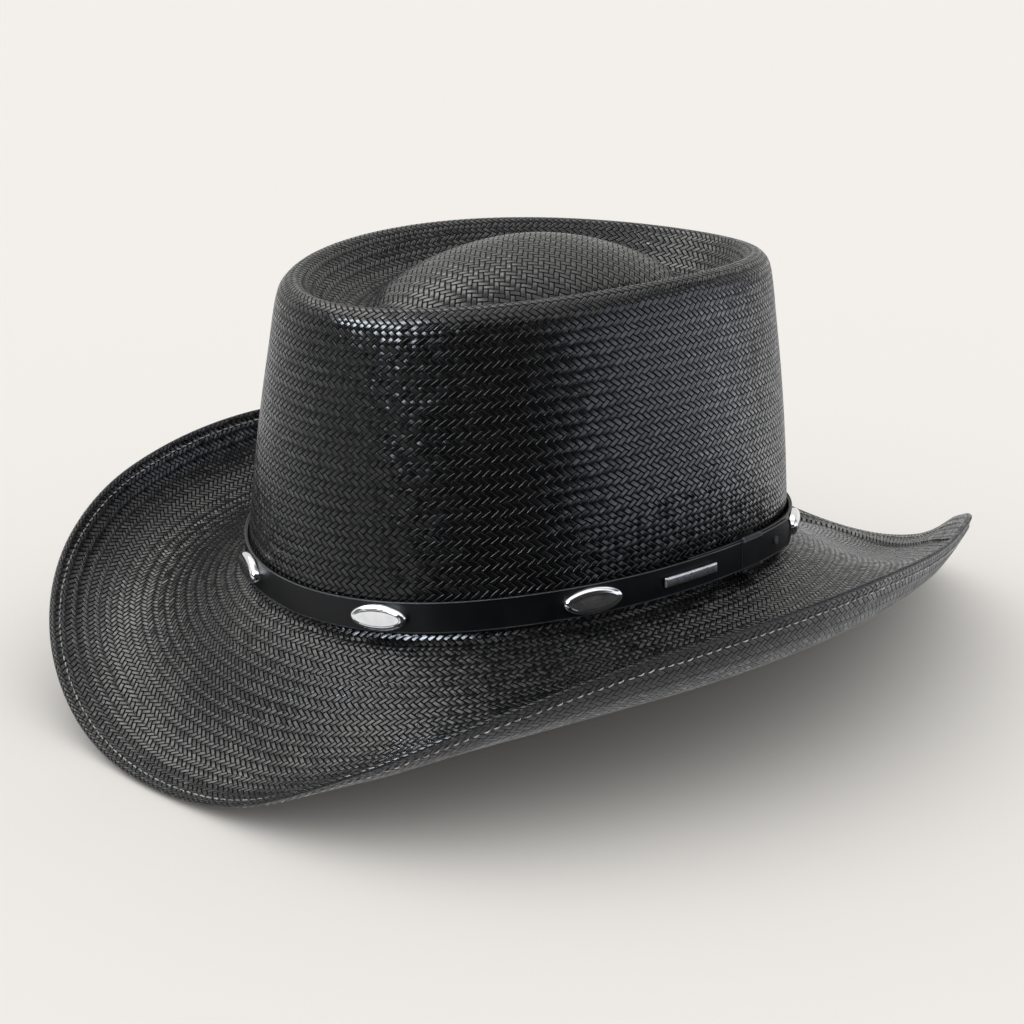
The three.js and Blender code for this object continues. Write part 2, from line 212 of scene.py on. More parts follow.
def wall_point(angle, height):
    """Points on the outside of the crown's wall, at a height above its foot."""
    angle = np.asarray(angle, float)
    share = np.asarray(height, float) / CROWN_HEIGHT

    def mix(low, high):
        return low + (high - low) * share

    x, y = oval(
        angle,
        mix(FOOT_LENGTH, RIM_LENGTH) / 2,
        mix(FOOT_WIDTH, RIM_WIDTH) / 2,
        mix(FOOT_EGG, RIM_EGG),
        mix(FOOT_FULLNESS, RIM_FULLNESS),
    )
    bulge = WALL_BULGE * 4 * share * (1 - share)
    out_x, out_y = foot_outward(angle)
    lift = mix(FOOT_SIDE_LIFT, RIM_SIDE_LIFT) * np.sin(np.radians(angle)) ** 2
    return np.stack([x + out_x * bulge, y + out_y * bulge + RIM_SHIFT * share, lift + height], -1)


def wall_normal(angle, height):
    along = wall_point(angle + 0.5, height) - wall_point(angle - 0.5, height)
    up = wall_point(angle, height + 0.5) - wall_point(angle, height - 0.5)
    return unit(np.cross(along, up))


def top_point(angle, inward, down):
    """Points over the rim and in the ring: so far in from the wall, so far below the rim's top."""
    x, y = oval(angle, RIM_LENGTH / 2 - inward, RIM_WIDTH / 2 - inward, RIM_EGG, RIM_FULLNESS)
    lift = RIM_SIDE_LIFT * np.sin(np.radians(angle)) ** 2
    return np.stack([x, y + RIM_SHIFT, lift + CROWN_HEIGHT - down], -1)


def dome_point(angle, share):
    """Points on the dome, whose sides' lift fades out towards the middle."""
    half_length = (RIM_LENGTH / 2 - DOME_INSET) * share
    half_width = (RIM_WIDTH / 2 - DOME_INSET) * share
    x, y = oval(angle, half_length, half_width, RIM_EGG, RIM_FULLNESS)
    lift = RIM_SIDE_LIFT * np.sin(np.radians(angle)) ** 2 * share**2
    rise = DOME_RISE * (1 - share**DOME_FULLNESS) ** DOME_SHARPNESS
    return np.stack([x, y + RIM_SHIFT, lift + CROWN_HEIGHT - RING_DEPTH + rise], -1)


def brim_point(angle, distance):
    """Points of the brim's upper side, reached by walking out from the crown's foot in short steps."""
    angle = np.asarray(angle, float)
    distance = np.asarray(distance, float)
    foot, middle, edge = (blend_rows(column, angle) for column in ("foot", "middle", "edge"))
    width = BRIM_WIDTH * blend_rows("width", angle)
    out = np.zeros(np.broadcast(angle, distance).shape)
    up = np.zeros_like(out)
    for step in range(BRIM_STEPS):
        share = (step + 0.5) / BRIM_STEPS * distance / width
        slope = np.radians(
            foot * (1 - share) * (1 - 2 * share)
            + middle * 4 * share * (1 - share)
            + edge * share * (2 * share - 1)
        )
        out += np.cos(slope) * distance / BRIM_STEPS
        up += np.sin(slope) * distance / BRIM_STEPS
    base = wall_point(angle, np.zeros_like(out))
    out_x, out_y = foot_outward(angle)
    return base + np.stack([out_x * out, out_y * out, up], -1)


def brim_reach(angle):
    return BRIM_WIDTH * blend_rows("width", angle)


def hem_raise(angle):
    """How far the folded hem stands up at an angle: least at the front, most at the rear."""
    return HEM_THICKNESS * (HEM_RAISE_AT_FRONT + (1 - HEM_RAISE_AT_FRONT) * rear_share(angle))


def rear_share(angle):
    """0 at the front and sides, 1 at the rear, where the hem's inner edge is crisp."""
    return smoothstep(np.abs((np.asarray(angle, float) + 180) % 360 - 180), REAR_FROM, REAR_FULL)


def smoothstep(value, low, high):
    share = np.clip((value - low) / (high - low), 0, 1)
    return share * share * (3 - 2 * share)


def brim_normal(angle, distance):
    """Upward normal of the brim's upper side."""
    along = brim_point(angle + 0.5, distance) - brim_point(angle - 0.5, distance)
    out = brim_point(angle, distance + 0.5) - brim_point(angle, distance - 0.5)
    return unit(np.cross(out, along))


def part_rings(angles):
    """The part's own rings from the dome's middle to the brim's edge: (points, kind of the span after it)."""
    rings = []
    for share in DOME_RINGS:
        rings.append((dome_point(angles, share), "dome"))
    rings.append((dome_point(angles, DOME_FOOT_RING), "valley"))
    for inward, down in VALLEY_RINGS:
        rings.append((top_point(angles, inward * DOME_INSET, down * RING_DEPTH), "valley"))
    for turn in np.radians(RIM_TURNS):
        inward = RIM_RADIUS * (1 - math.cos(turn))
        down = RIM_RADIUS * (1 - math.sin(turn))
        rings.append((top_point(angles, inward, down), "rim"))
    for share in WALL_RINGS:
        height = FOOT_ROUND + (CROWN_HEIGHT - RIM_RADIUS - FOOT_ROUND) * share
        rings.append((wall_point(angles, height), "wall"))
    rings.append((wall_point(angles, FOOT_ROUND), "foot"))
    plain = brim_reach(angles) - HEM_WIDTH
    for share in BRIM_RINGS:
        rings.append((brim_point(angles, plain * share), "brim"))
    rings.append((brim_point(angles, plain), "hem"))
    for share in HEM_RINGS:
        rings.append((brim_point(angles, plain + HEM_WIDTH * share), "hem"))
    return rings


def smooth_rings(angles):
    """Finer rings on a smooth curve through the part's rings: their points and their kinds."""
    middle = np.array([0, RIM_SHIFT, CROWN_HEIGHT - RING_DEPTH + DOME_RISE], float)
    own = part_rings(angles)
    half_turn = len(angles) // 2
    first = own[0][0]
    nodes = [np.roll(first, half_turn, axis=0), np.broadcast_to(middle, first.shape)]
    nodes += [points for points, _ in own]
    nodes.append(2 * nodes[-1] - nodes[-2])
    kinds = ["dome"] + [kind for _, kind in own]
    fine, fine_kinds = [], []
    for span in range(1, len(nodes) - 2):
        before, start, end, after = nodes[span - 1 : span + 3]
        knots = [0.0]
        for left, right in ((before, start), (start, end), (end, after)):
            knots.append(knots[-1] + np.sqrt(np.linalg.norm(right - left, axis=-1).mean()))
        steps = RING_STEPS[kinds[span - 1]]
        for step in range(steps):
            at = knots[1] + (knots[2] - knots[1]) * step / steps

            def lerp(low, high, low_knot, high_knot):
                return (low * (high_knot - at) + high * (at - low_knot)) / (high_knot - low_knot)

            a = lerp(before, start, knots[0], knots[1])
            b = lerp(start, end, knots[1], knots[2])
            c = lerp(end, after, knots[2], knots[3])
            ab = lerp(a, b, knots[0], knots[2])
            bc = lerp(b, c, knots[1], knots[3])
            fine.append(lerp(ab, bc, knots[1], knots[2]))
            fine_kinds.append(kinds[span - 1])
    fine.append(nodes[-2])
    fine_kinds.append("hem")
    return np.array(fine), fine_kinds


def grid_normals(grid):
    """Outward normals of a grid of rings by columns that closes on itself round the hat."""
    round_hat = np.roll(grid, -1, axis=1) - np.roll(grid, 1, axis=1)
    outward = np.gradient(grid, axis=0)
    outward[0] = outward[1]
    round_hat[0] = round_hat[1]
    return unit(np.cross(outward, round_hat))


def find_set_down(points):
    """Turn about X and shift that bring the front and rear dips onto the floor and centre the box."""
    front = points[points[:, 1] < 0]
    rear = points[points[:, 1] >= 0]
    tilt = 0.0
    for _ in range(6):
        low = []
        for half in (front, rear):
            heights = half[:, 1] * math.sin(tilt) + half[:, 2] * math.cos(tilt)
            low.append(half[heights.argmin()])
        tilt = -math.atan2(low[1][2] - low[0][2], low[1][1] - low[0][1])
    turned = points @ np.array(Matrix.Rotation(tilt, 3, "X")).T
    low, high = turned.min(0), turned.max(0)
    shift = np.array([-(low[0] + high[0]) / 2, -(low[1] + high[1]) / 2, -low[2]])
    return Matrix.Translation(Vector(shift)) @ Matrix.Rotation(tilt, 4, "X")


def new_object(name, vertices, faces, materials, set_down):
    """A mesh object in the row frame, from millimetres in the hat's own frame."""
    mesh = bpy.data.meshes.new(name)
    place = np.array(set_down)
    points = (np.asarray(vertices, float) @ place[:3, :3].T + place[:3, 3]) * MM
    mesh.from_pydata(points.tolist(), [], faces)
    for look in materials:
        mesh.materials.append(look)
    mesh.polygons.foreach_set("use_smooth", [True] * len(mesh.polygons))
    mesh.update()
    obj = bpy.data.objects.new(name, mesh)
    bpy.context.scene.collection.objects.link(obj)
    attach(obj, "root")
    return obj


# --- straw body ---

def straw_body(materials):
    """Crown and brim as one fine closed shell, with the weave's columns and rows as its UV map."""
    angles = np.arange(COLUMNS) * 360 / COLUMNS
    rings, kinds = smooth_rings(angles)
    normals = grid_normals(rings)
    hem_from = kinds.index("hem")
    beyond = np.linalg.norm(np.diff(rings[hem_from:], axis=0), axis=-1).cumsum(axis=0)
    raised = np.zeros(rings.shape[:2])
    softness = HEM_SOFTNESS - HEM_CRISPER_AT_REAR * rear_share(angles)
    raised[hem_from + 1 :] = hem_raise(angles) * smoothstep(beyond, 0, softness)
    upper = rings + normals * raised[..., None]
    under = rings - normals * STRAW_THICKNESS
    outward = unit(rings[-1] - rings[-2])
    edge_radius = (STRAW_THICKNESS + hem_raise(angles))[:, None] / 2
    edge_middle = (upper[-1] + under[-1]) / 2
    edge = []
    for turn in np.radians(EDGE_TURNS):
        edge.append(edge_middle + edge_radius * (math.cos(turn) * outward + math.sin(turn) * normals[-1]))
    layers = np.concatenate([upper[1:], np.array(edge), under[:0:-1]])
    rows_up, columns_up = weave_map(rings, kinds)
    edge_rows = rows_up[-1] + np.arange(1, len(EDGE_TURNS) + 1) * EDGE_ROW
    rows = np.concatenate([rows_up[1:], edge_rows, rows_up[:0:-1]])
    columns = np.concatenate([columns_up[1:], np.full(len(EDGE_TURNS), columns_up[-1]), columns_up[:0:-1]])
    kinds_all = kinds[1:] + ["hem"] * len(EDGE_TURNS) + kinds[:0:-1]
    turn_share = arc_shares(layers)
    vertices = layers.reshape(-1, 3)
    top = upper[0].mean(0)
    ceiling = under[0].mean(0)
    faces, sides, uvs = [], [], []
    for ring in range(len(layers) - 1):
        here, there = ring * COLUMNS, (ring + 1) * COLUMNS
        planar = kinds_all[ring] == "dome" and kinds_all[ring + 1] in ("dome", "valley")
        count = columns[min(ring, ring + 1)] if ring < len(layers) // 2 else columns[ring + 1]
        for column in range(COLUMNS):
            after = (column + 1) % COLUMNS
            corners = ((ring, column), (ring + 1, column), (ring + 1, column + 1), (ring, column + 1))
            faces.append((here + column, there + column, there + after, here + after))
            sides.append(1 if ring > len(rings) else 0)
            for at_ring, at_column in corners:
                if planar:
                    point = layers[at_ring, at_column % COLUMNS]
                    uvs.append((point[0] / DOME_WEAVE, point[1] / DOME_WEAVE))
                else:
                    share = turn_share[at_ring, at_column]
                    uvs.append((share * count, rows[at_ring]))
    poles = (len(vertices), len(vertices) + 1)
    last = (len(layers) - 1) * COLUMNS
    for column in range(COLUMNS):
        after = (column + 1) % COLUMNS
        for face in ((poles[0], column, after), (poles[1], last + after, last + column)):
            faces.append(face)
            sides.append(1 if poles[1] in face else 0)
            for index in face:
                point = top if index >= len(vertices) else vertices[index]
                uvs.append((point[0] / DOME_WEAVE, point[1] / DOME_WEAVE))
    points = np.concatenate([vertices, [top, ceiling]])
    set_down = find_set_down(points)
    obj = new_object("straw_hat", points, faces, materials, set_down)
    obj.data.polygons.foreach_set("material_index", sides)
    layer = obj.data.uv_layers.new(name="weave")
    layer.data.foreach_set("uv", np.array(uvs, np.float32).ravel())
    fix_normals(obj)
    obj.data.polygons.foreach_set("use_smooth", [True] * len(obj.data.polygons))
    return obj, set_down


def arc_shares(layers):
    """Share of the way round at each corner of each ring, with the closing 1 at the end."""
    strides = np.linalg.norm(np.roll(layers, -1, axis=1)[..., :2] - layers[..., :2], axis=-1)
    walked = np.concatenate([np.zeros((len(layers), 1)), np.cumsum(strides, axis=1)], axis=1)
    return walked / walked[:, -1:]


def weave_map(rings, kinds):
    """Row of the weave at each ring, and how many columns go round there."""
    widths, heights = np.array([BRIM_WEAVE if kind in ("brim", "hem") else CROWN_WEAVE for kind in kinds]).T
    strides = np.linalg.norm(np.diff(rings, axis=0), axis=-1).mean(1) / heights[:-1]
    around_hat = np.linalg.norm(np.roll(rings, -1, axis=1) - rings, axis=-1).sum(1)
    wanted = around_hat / widths
    zones = [0]
    for ring in range(1, len(rings)):
        start = zones[-1]
        changed = kinds[ring] != kinds[ring - 1] and {kinds[ring], kinds[ring - 1]} & {"dome", "valley", "foot"}
        if changed or (kinds[ring] in ("brim", "valley") and abs(wanted[ring] / wanted[start] - 1) > ZONE_DRIFT):
            zones.append(ring)
    zones.append(len(rings))
    rows = np.concatenate([[0], np.cumsum(strides)])
    counts = np.zeros(len(rings))
    for start, end in zip(zones, zones[1:]):
        counts[start:end] = round(wanted[start:end].mean())
    return rows, counts


# --- band ---

INNER_TURN = CLEARANCE + KEEPER_THICKNESS + CLEARANCE
OUTER_TURN = INNER_TURN + STRAP_THICKNESS + CLEARANCE


def strap_standoff(angle):
    settled = smoothstep(angle, SETTLE[0] - 360, SETTLE[1] - 360)
    stepped = smoothstep(angle, *STEP_OUT)
    return INNER_TURN + (CLEARANCE - INNER_TURN) * settled + (OUTER_TURN - CLEARANCE) * stepped


def strap_point(angle, height, depth):
    """Points of the strap: height up from its lower edge, depth out from its back."""
    angle = np.asarray(angle, float)
    above = STRAP_ABOVE_FOOT + np.asarray(height, float)
    out = strap_standoff(angle) + depth
    return wall_point(angle, above) + wall_normal(angle, above) * np.asarray(out)[..., None]


def strap_lengths():
    """Lengths along the strap at whole degrees either side of the front, as the part's source walks them."""
    walked = [np.zeros(1)]
    for step in (1, -1):
        angles = np.arange(0, 300) * step
        points = strap_point(angles, np.full(len(angles), STRAP_HEIGHT / 2), STRAP_THICKNESS)
        walked.append(np.cumsum(np.linalg.norm(np.diff(points, axis=0), axis=1)) * step)
    ahead, behind = walked[1], walked[2]
    return np.arange(-299, 300), np.concatenate([behind[::-1], walked[0], ahead])


def angle_along(length):
    """Angle on the strap that lies a length along it from the front."""
    return np.interp(length, STRAP_LENGTHS, STRAP_ANGLES)


def length_to(angle):
    """Length along the strap from the front to an angle."""
    return float(np.interp(angle, STRAP_ANGLES, STRAP_LENGTHS))


STRAP_ANGLES, STRAP_LENGTHS = strap_lengths()


def rounded_section(low, high, back, front, radius, steps=4):
    """Corners of a rectangle with rounded corners, as (height, depth)."""
    radius = min(radius, (high - low) / 2 * 0.98, (front - back) / 2 * 0.98)
    centres = ((low, back, 1, 1, 180), (low, front, 1, -1, 90), (high, front, -1, -1, 0), (high, back, -1, 1, 270))
    corners = []
    for height, depth, toward_h, toward_d, start in centres:
        middle_h, middle_d = height + toward_h * radius, depth + toward_d * radius
        for step in range(steps + 1):
            turn = math.radians(90 * step / steps)
            across, away = math.cos(turn), math.sin(turn)
            if toward_h == toward_d:
                across, away = away, across
            corners.append((middle_h - toward_h * radius * away, middle_d - toward_d * radius * across))
    return corners


def loft(sections, closed=False):
    """Faces over sections of equally many corners, each a closed loop."""
    sides = len(sections[0])
    faces = []
    count = len(sections) if closed else len(sections) - 1
    for index in range(count):
        here, there = index * sides, ((index + 1) % len(sections)) * sides
        for side in range(sides):
            after = (side + 1) % sides
            faces.append((here + side, here + after, there + after, there + side))
    if not closed:
        faces.append(tuple(reversed(range(sides))))
        end = (len(sections) - 1) * sides
        faces.append(tuple(range(end, end + sides)))
    return faces


def fix_normals(obj, sharp_angle=None):
    edit = bmesh.new()
    edit.from_mesh(obj.data)
    bmesh.ops.recalc_face_normals(edit, faces=edit.faces)
    edit.to_mesh(obj.data)
    edit.free()
    if sharp_angle is not None:
        obj.data.set_sharp_from_angle(angle=math.radians(sharp_angle))


def apply_modifiers(obj):
    graph = bpy.context.evaluated_depsgraph_get()
    evaluated = obj.evaluated_get(graph)
    mesh = bpy.data.meshes.new_from_object(evaluated)
    obj.modifiers.clear()
    old = obj.data
    obj.data = mesh
    bpy.data.meshes.remove(old)


def band_strap(face_look, edge_look_with_highlight, set_down):
    """The leather strap with rounded edges, its tip and its punched hole."""
    tip_angle = angle_along(STRAP_TIP)
    tip_start = angle_along(STRAP_TIP - STRAP_HEIGHT / 2)
    stations = [(angle, STRAP_HEIGHT / 2) for angle in np.arange(STRAP_HIDDEN_END - 360, tip_start, STRAP_STEP)]
    for station in range(TIP_STATIONS + 1):
        turn = station / (TIP_STATIONS + 0.6) * math.pi / 2
        angle = tip_start + (tip_angle - tip_start) * math.sin(turn)
        stations.append((angle, STRAP_HEIGHT / 2 * math.cos(turn)))
    vertices = []
    for angle, half in stations:
        low, high = STRAP_HEIGHT / 2 - half, STRAP_HEIGHT / 2 + half
        section = rounded_section(low, high, 0, STRAP_THICKNESS, STRAP_ROUNDING)
        heights, depths = np.array(section).T
        vertices.append(strap_point(np.full(len(heights), angle), heights, depths))
    faces = loft(vertices)
    sides = len(vertices[0])
    obj = new_object("band_leather", np.concatenate(vertices), faces, (face_look, edge_look_with_highlight), set_down)
    per_corner = sides // 4
    # The strap's lower and upper edges and both its ends take the edge leather: a paler raw edge with a painted
    # highlight.
    for index, polygon in enumerate(obj.data.polygons):
        side = index % sides
        polygon.material_index = 1 if edge_side(side, per_corner) else 0
        if index >= len(faces) - 2:
            polygon.material_index = 1
    fix_normals(obj)
    cut_hole(obj, set_down)
    return obj


def edge_side(side, per_corner):
    """Whether a side of the rounded section lies on the strap's lower or upper edge."""
    low_edge = per_corner // 2 <= side < per_corner + per_corner // 2
    high_edge = 2 * per_corner + per_corner // 2 <= side < 3 * per_corner + per_corner // 2
    return low_edge or high_edge


def seat_matrix(angle, height, depth):
    """Frame of a flat piece on the band: X along the strap, Y up its face, Z out of it."""
    out = strap_point(angle, height, depth)
    along = unit(strap_point(angle + 1, height, depth) - strap_point(angle - 1, height, depth))
    up = unit(strap_point(angle, height + 1, depth) - strap_point(angle, height - 1, depth))
    face = unit(np.cross(along, up))
    upright = np.cross(face, along)
    seat = np.eye(4)
    seat[:3, :4] = np.stack([along, upright, face, out], -1)
    return seat


def cut_hole(strap, set_down):
    """Punches the hole in the strap's free end."""
    seat = seat_matrix(angle_along(STRAP_TIP - PUNCH_TO_TIP), STRAP_HEIGHT / 2, STRAP_THICKNESS / 2)
    turns = np.arange(PUNCH_SIDES) * 2 * np.pi / PUNCH_SIDES
    loops = []
    half = STRAP_THICKNESS / 2 + CLEARANCE / 2
    for out in (-half, half):
        ring = np.stack([np.cos(turns) * PUNCH_DIAMETER / 2, np.sin(turns) * PUNCH_DIAMETER / 2,
                         np.full(PUNCH_SIDES, out), np.ones(PUNCH_SIDES)], -1)
        loops.append((ring @ seat.T)[:, :3])
    drill = new_object("drill", np.concatenate(loops), loft(loops), (strap.data.materials[1],), set_down)
    fix_normals(drill)
    cut = strap.modifiers.new("hole", "BOOLEAN")
    cut.operation = "DIFFERENCE"
    cut.solver = "EXACT"
    cut.object = drill
    apply_modifiers(strap)
    bpy.data.objects.remove(drill)
    strap.data.polygons.foreach_set("use_smooth", [True] * len(strap.data.polygons))
    strap.data.set_sharp_from_angle(angle=math.radians(40))


def keeper_loop(look, edge_look_with_highlight, set_down):
    """Leather loop round both turns of the strap, with softened edges."""
    back = INNER_TURN - OUTER_TURN - CLEARANCE
    front = STRAP_THICKNESS + CLEARANCE
    low, high = -CLEARANCE, STRAP_HEIGHT + CLEARANCE
    inside = rounded_section(low, high, back, front, KEEPER_INNER_ROUNDING)
    grow = KEEPER_THICKNESS
    outside = rounded_section(low - grow, high + grow, back - grow, front + grow, KEEPER_INNER_ROUNDING + grow)
    middle_h, middle_d = STRAP_HEIGHT / 2, (front + back) / 2
    start = KEEPER_CENTRE - KEEPER_WIDTH / 2
    flat = KEEPER_WIDTH - 2 * KEEPER_SOFTNESS
    lengths = []
    for turn in (0, 30, 60, 90):
        along = KEEPER_SOFTNESS * (1 - math.cos(math.radians(turn)))
        lengths.append((start + along, KEEPER_SOFTNESS * (1 - math.sin(math.radians(turn)))))
    lengths += [(start + KEEPER_SOFTNESS + flat * share, 0) for share in np.linspace(0.1, 0.9, 9)]
    lengths += [(2 * KEEPER_CENTRE - along, inset) for along, inset in reversed(lengths[:4])]

    def section_at(corners, angle, inset):
        section = np.array(corners)
        heights = middle_h + (section[:, 0] - middle_h) * (1 - inset / (STRAP_HEIGHT / 2 + CLEARANCE + grow))
        depths = middle_d + (section[:, 1] - middle_d) * (1 - inset / ((front - back) / 2 + grow))
        return strap_point(np.full(len(section), angle), heights, depths)

    loops = [section_at(outside, angle_along(length), inset) for length, inset in lengths]
    loops += [section_at(inside, angle_along(length), 0) for length, _ in reversed(lengths)]
    faces = loft(loops, closed=True)
    obj = new_object("keeper_leather_painted_light", np.concatenate(loops), faces, (look, edge_look_with_highlight), set_down)
    sides = len(outside)
    cut = len(lengths)
    # The keeper's ends take the edge leather: a paler raw edge with a painted highlight.
    for index, polygon in enumerate(obj.data.polygons):
        station = index // sides
        polygon.material_index = 1 if station < 3 or cut - 4 <= station < cut or station == 2 * cut - 1 else 0
    fix_normals(obj, 50)
    return obj


def concho(name, index, look, set_down):
    """Oval concho: a polished flat face with a rounded shoulder and a thin lip at its foot."""
    last_angle = angle_along(STRAP_TIP + TIP_TO_CONCHO + CONCHO_LENGTH / 2) - 360
    spacing = (FIRST_CONCHO - length_to(last_angle)) / (CONCHO_COUNT - 1)
    angle = angle_along(FIRST_CONCHO - index * spacing)
    seat = seat_matrix(angle, STRAP_HEIGHT / 2, STRAP_THICKNESS + CLEARANCE)
    turns = np.arange(CONCHO_SIDES) * 2 * np.pi / CONCHO_SIDES
    bend = 1 / (FOOT_LENGTH + FOOT_WIDTH) * 2
    loops = []
    for shrink, out in CONCHO_PROFILE:
        x = (CONCHO_LENGTH / 2 - shrink) * np.cos(turns)
        y = (CONCHO_HEIGHT / 2 - shrink) * np.sin(turns)
        follow = max(0.0, 1 - out / 0.6)
        z = out - follow * x**2 * bend
        loops.append((np.stack([x, y, z, np.ones(CONCHO_SIDES)], -1) @ seat.T)[:, :3])
    obj = new_object(name, np.concatenate(loops), loft(loops), (look,), set_down)
    fix_normals(obj, 32)
    return obj


def plain_bar(look, set_down):
    """Plain metal bar bent with the strap, its edges rounded over and its face slightly domed."""
    margin = BAR_BEVEL * (1 - np.cos(np.radians(np.arange(0, 91, 15))))
    lengths = np.concatenate([margin, np.linspace(1.2, BAR_LENGTH - 1.2, 40), BAR_LENGTH - margin[::-1]])
    between = [BAR_HEIGHT * 0.32, BAR_HEIGHT / 2, BAR_HEIGHT * 0.68]
    heights = np.concatenate([margin, between, BAR_HEIGHT - margin[::-1]])
    low = (STRAP_HEIGHT - BAR_HEIGHT) / 2
    grid = []
    for along in lengths:
        to_edge = np.minimum(min(along, BAR_LENGTH - along), np.minimum(heights, BAR_HEIGHT - heights))
        short = 1 - np.minimum(to_edge / BAR_BEVEL, 1)
        out = BAR_THICKNESS - BAR_DOMING - BAR_BEVEL * (1 - np.sqrt(1 - short**2))
        out = out + BAR_DOMING * (1 - (2 * heights / BAR_HEIGHT - 1) ** 2)
        angle = angle_along(BAR_CENTRE - BAR_LENGTH / 2 + along)
        points = strap_point(np.full(len(heights), angle), low + heights, STRAP_THICKNESS + CLEARANCE + out)
        grid.append(points)
    grid = np.array(grid)
    rows, columns = grid.shape[:2]
    vertices = grid.reshape(-1, 3).tolist()
    faces = []
    for row in range(rows - 1):
        for column in range(columns - 1):
            here, there = row * columns + column, (row + 1) * columns + column
            faces.append((here, here + 1, there + 1, there))
    border = [(0, column) for column in range(columns)] + [(row, columns - 1) for row in range(1, rows)]
    border += [(rows - 1, column) for column in range(columns - 2, -1, -1)]
    border += [(row, 0) for row in range(rows - 2, 0, -1)]
    base = len(vertices)
    for row, column in border:
        angle = angle_along(BAR_CENTRE - BAR_LENGTH / 2 + lengths[row])
        vertices.append(strap_point(angle, low + heights[column], STRAP_THICKNESS + 0.05).tolist())
    for index, (row, column) in enumerate(border):
        after = (index + 1) % len(border)
        next_row, next_column = border[after]
        faces.append((row * columns + column, base + index, base + after, next_row * columns + next_column))
    faces.append(tuple(base + index for index in range(len(border))))
    obj = new_object("bar_metal", vertices, faces, (look,), set_down)
    fix_normals(obj, 50)
    return obj


# --- stitches ---

def hem_stitches(name, look, set_down, side):
    """Running stitch along the hem: side 1 on the upper face, -1 on the underside."""
    turns = np.arange(0, 360.01, 0.25)
    distance = brim_reach(turns) - STITCH_INSET
    normals = brim_normal(turns, distance)
    gap, thread_radius = [pair[0 if side > 0 else 1] for pair in (STITCH_GAPS, THREAD_RADII)]
    lift = hem_raise(turns) if side > 0 else np.full(len(turns), -STRAW_THICKNESS)
    line = brim_point(turns, distance) + normals * lift[:, None]
    normals = normals * side
    walked = np.concatenate([[0], np.cumsum(np.linalg.norm(np.diff(line, axis=0), axis=1))])
    count = int(walked[-1] / STITCH_LENGTH)
    pitch = walked[-1] / count
    rng = np.random.default_rng(7 if side > 0 else 8)
    shares = np.linspace(0, 1, STITCH_STATIONS)
    starts = np.arange(count) * pitch + gap / 2 + rng.normal(0, 0.06, count)
    at = (starts[:, None] + (pitch - gap) * shares) % walked[-1]

    def along_line(data, where):
        return np.stack([np.interp(where, walked, data[:, axis]) for axis in range(3)], -1)

    middle = along_line(line, at)
    ahead = unit(along_line(line, (at + 0.2) % walked[-1]) - middle)
    normal = unit(along_line(normals, at))
    away = np.cross(ahead, normal)
    slant = rng.normal(0.13, 0.07, count)[:, None] * side
    shift = slant * (2 * shares - 1) + rng.normal(0, 0.05, count)[:, None]
    rise = thread_radius * (0.5 - 1.7 * (2 * shares - 1) ** 6)
    radius = thread_radius * (0.72 + 0.28 * np.sin(np.pi * shares))
    turn = np.arange(THREAD_SIDES) * 2 * np.pi / THREAD_SIDES
    up = rise[None, :, None] + radius[None, :, None] * np.sin(turn)
    aside = shift[:, :, None] + radius[None, :, None] * np.cos(turn)
    rings = middle[:, :, None] + normal[:, :, None] * up[..., None] + away[:, :, None] * aside[..., None]
    one = loft([[0] * THREAD_SIDES] * len(shares))
    size = THREAD_SIDES * len(shares)
    faces = [tuple(stitch * size + index for index in face) for stitch in range(count) for face in one]
    obj = new_object(name, rings.reshape(-1, 3), faces, (look,), set_down)
    fix_normals(obj)
    for vertex in obj.data.vertices:
        vertex.co.z = max(vertex.co.z, 0.00005)
    return obj


# --- materials ---

class Value:
    """A number worked out in a shader: arithmetic on it adds Math nodes to its tree."""

    def __init__(self, tree, socket):
        self.tree = tree
        self.socket = socket

    def math(self, operation, *others):
        node = self.tree.nodes.new("ShaderNodeMath")
        node.operation = operation
        for slot, operand in zip(node.inputs, (self, *others)):
            if isinstance(operand, Value):
                self.tree.links.new(operand.socket, slot)
            else:
                slot.default_value = operand
        return Value(self.tree, node.outputs[0])

    def __add__(self, other):
        return self.math("ADD", other)

    def __sub__(self, other):
        return self.math("SUBTRACT", other)

    def __mul__(self, other):
        return self.math("MULTIPLY", other)

    def __truediv__(self, other):
        return self.math("DIVIDE", other)

    def floor(self):
        return self.math("FLOOR")

    def wrap(self, period):
        return self.math("FLOORED_MODULO", period)

    def smooth(self, low, high):
        """0 below low, 1 above high and a smooth step between them."""
        node = self.tree.nodes.new("ShaderNodeMapRange")
        node.interpolation_type = "SMOOTHSTEP"
        self.tree.links.new(self.socket, node.inputs["Value"])
        node.inputs["From Min"].default_value = low
        node.inputs["From Max"].default_value = high
        return Value(self.tree, node.outputs["Result"])

    def between(self, low, high):
        """This share of the way from low to high."""
        return self * (high - low) + low


def new_material(name):
    material = bpy.data.materials.new(name)
    material.use_nodes = True
    return material, material.node_tree, material.node_tree.nodes["Principled BSDF"]


def combine(tree, *values):
    node = tree.nodes.new("ShaderNodeCombineXYZ")
    for slot, value in zip(node.inputs, values):
        if isinstance(value, Value):
            tree.links.new(value.socket, slot)
        else:
            slot.default_value = value
    return node.outputs[0]


def noise(tree, vector, scale, detail=2.0, roughness=0.5):
    node = tree.nodes.new("ShaderNodeTexNoise")
    tree.links.new(vector, node.inputs["Vector"])
    node.inputs["Scale"].default_value = scale
    node.inputs["Detail"].default_value = detail
    node.inputs["Roughness"].default_value = roughness
    return Value(tree, node.outputs[0])


def object_place(tree):
    return tree.nodes.new("ShaderNodeTexCoord").outputs["Object"]


def random_value(tree, *values):
    node = tree.nodes.new("ShaderNodeTexWhiteNoise")
    node.noise_dimensions = "3D"
    tree.links.new(combine(tree, *values), node.inputs["Vector"])
    return Value(tree, node.outputs["Value"])


